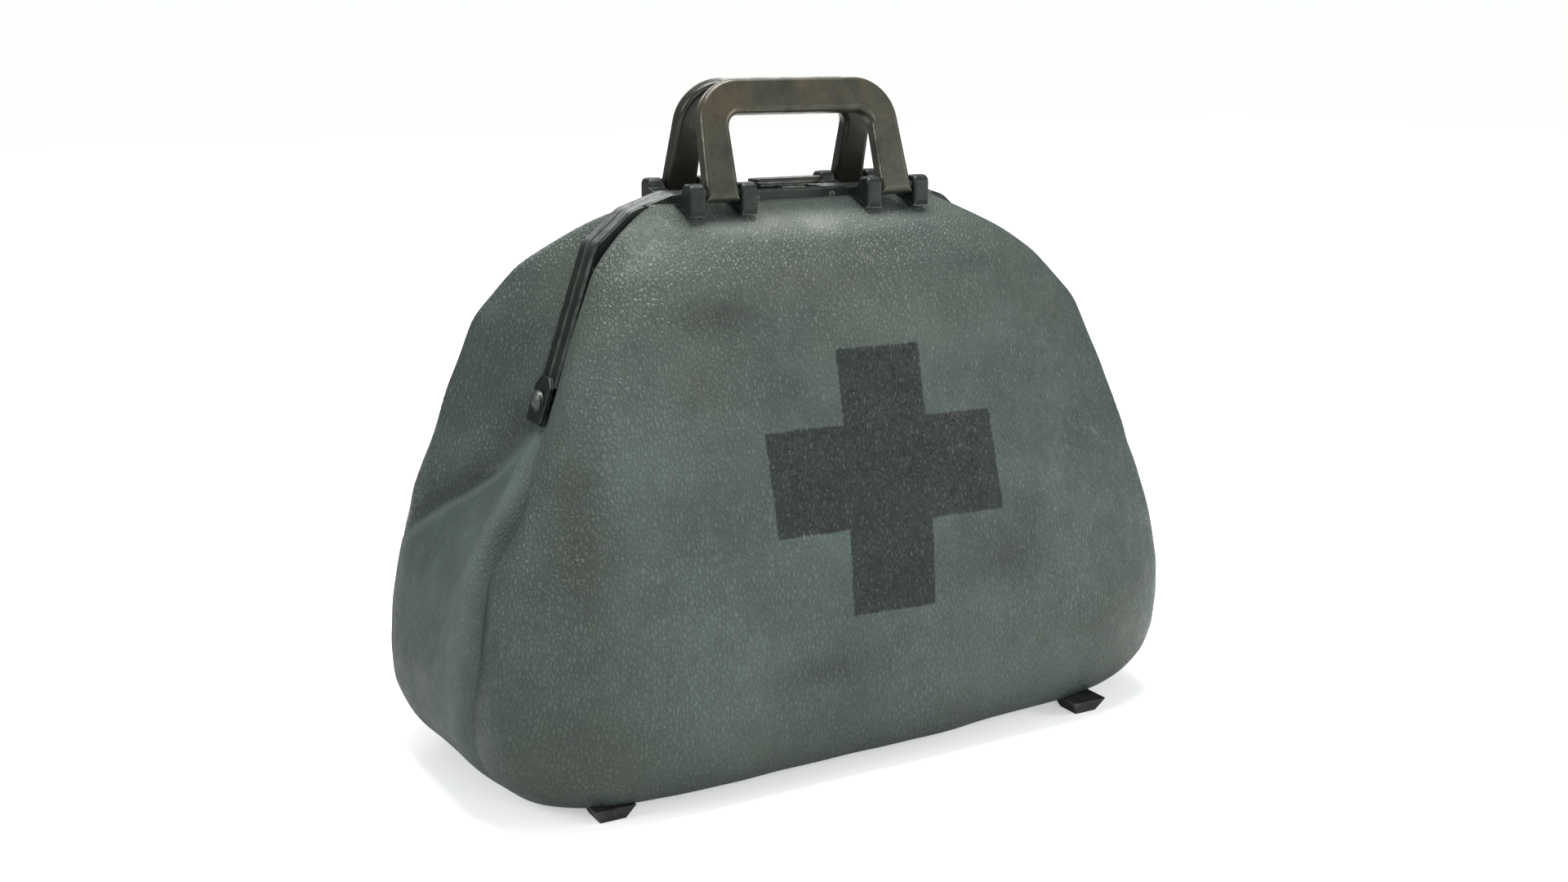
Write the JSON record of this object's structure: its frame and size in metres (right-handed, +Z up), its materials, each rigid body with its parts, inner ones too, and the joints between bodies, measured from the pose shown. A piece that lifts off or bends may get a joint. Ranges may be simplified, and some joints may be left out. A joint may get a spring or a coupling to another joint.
{
  "type": "doctor bag",
  "caption": "Leather bag with a hinged metal frame mouth, two swinging grip handles, a sliding latch and short feet, with a plain cross on the front.",
  "frame": {"origin": "on the floor under the middle of the bag", "axes": "+X along the bag's length, -Y towards the front face with the cross, +Z up"},
  "size_m": [0.432, 0.208, 0.3583],
  "materials": {
    "leather": "worn, grained, satin",
    "lining": "plain woven cotton",
    "board": "matte fibreboard",
    "foot": "dull, scuffed",
    "fastener": "aged steel",
    "frame_metal": "gunmetal patina with bare edges",
    "lock_metal": "gunmetal patina with bare edges",
    "handle_leather": "hard, polished by use"
  },
  "bodies": {
    "bag_base": {"base_board": "board", "base_panel": "leather", "foot_bolts": "fastener", "foot_front_left": "foot", "foot_front_right": "foot", "foot_rear_left": "foot", "foot_rear_right": "foot", "front_panel": "leather", "hinge_pin_left": "fastener", "hinge_pin_right": "fastener", "hinge_plate_left": "frame_metal", "hinge_plate_right": "frame_metal", "hinge_washers": "fastener", "left_gusset": "leather", "lining": "lining", "rear_panel": "leather", "right_gusset": "leather"},
    "front_jaw": {"front_catch_plate": "lock_metal", "front_clamp_rivets": "fastener", "front_clamp_strip": "frame_metal", "front_handle_pin_left": "fastener", "front_handle_pin_right": "fastener", "front_jaw_frame": "frame_metal", "front_lug_1": "frame_metal", "front_lug_2": "frame_metal", "front_lug_3": "frame_metal", "front_lug_4": "frame_metal", "front_shoulder": "leather"},
    "rear_jaw": {"lock_case": "lock_metal", "lock_spring": "fastener", "rear_clamp_rivets": "fastener", "rear_clamp_strip": "frame_metal", "rear_handle_pin_left": "fastener", "rear_handle_pin_right": "fastener", "rear_jaw_frame": "frame_metal", "rear_lug_1": "frame_metal", "rear_lug_2": "frame_metal", "rear_lug_3": "frame_metal", "rear_lug_4": "frame_metal", "rear_shoulder": "leather"},
    "front_handle": {"front_handle_core": "frame_metal", "front_handle_grip": "handle_leather"},
    "rear_handle": {"rear_handle_core": "frame_metal", "rear_handle_grip": "handle_leather"},
    "lock_slide": {"lock_button": "lock_metal"}
  },
  "joints": [
    {"name": "front_jaw_open", "type": "hinge", "parent": "bag_base", "child": "front_jaw", "pos_m": [0, 0, 0.1967], "axis": [1, 0, 0], "range_deg": [0, 40]},
    {"name": "rear_jaw_open", "type": "hinge", "parent": "bag_base", "child": "rear_jaw", "pos_m": [0, 0, 0.1967], "axis": [-1, 0, 0], "range_deg": [0, 40]},
    {"name": "front_handle_swing", "type": "hinge", "parent": "front_jaw", "child": "front_handle", "pos_m": [0, -0.025, 0.301], "axis": [1, 0, 0], "range_deg": [0, 112]},
    {"name": "rear_handle_swing", "type": "hinge", "parent": "rear_jaw", "child": "rear_handle", "pos_m": [0, 0.025, 0.301], "axis": [-1, 0, 0], "range_deg": [0, 112]},
    {"name": "lock_button_slide", "type": "slide", "parent": "rear_jaw", "child": "lock_slide", "axis": [1, 0, 0], "range_m": [0, 0.006], "stiffness_N_per_m": 150, "springref_m": -0.003}
  ]
}
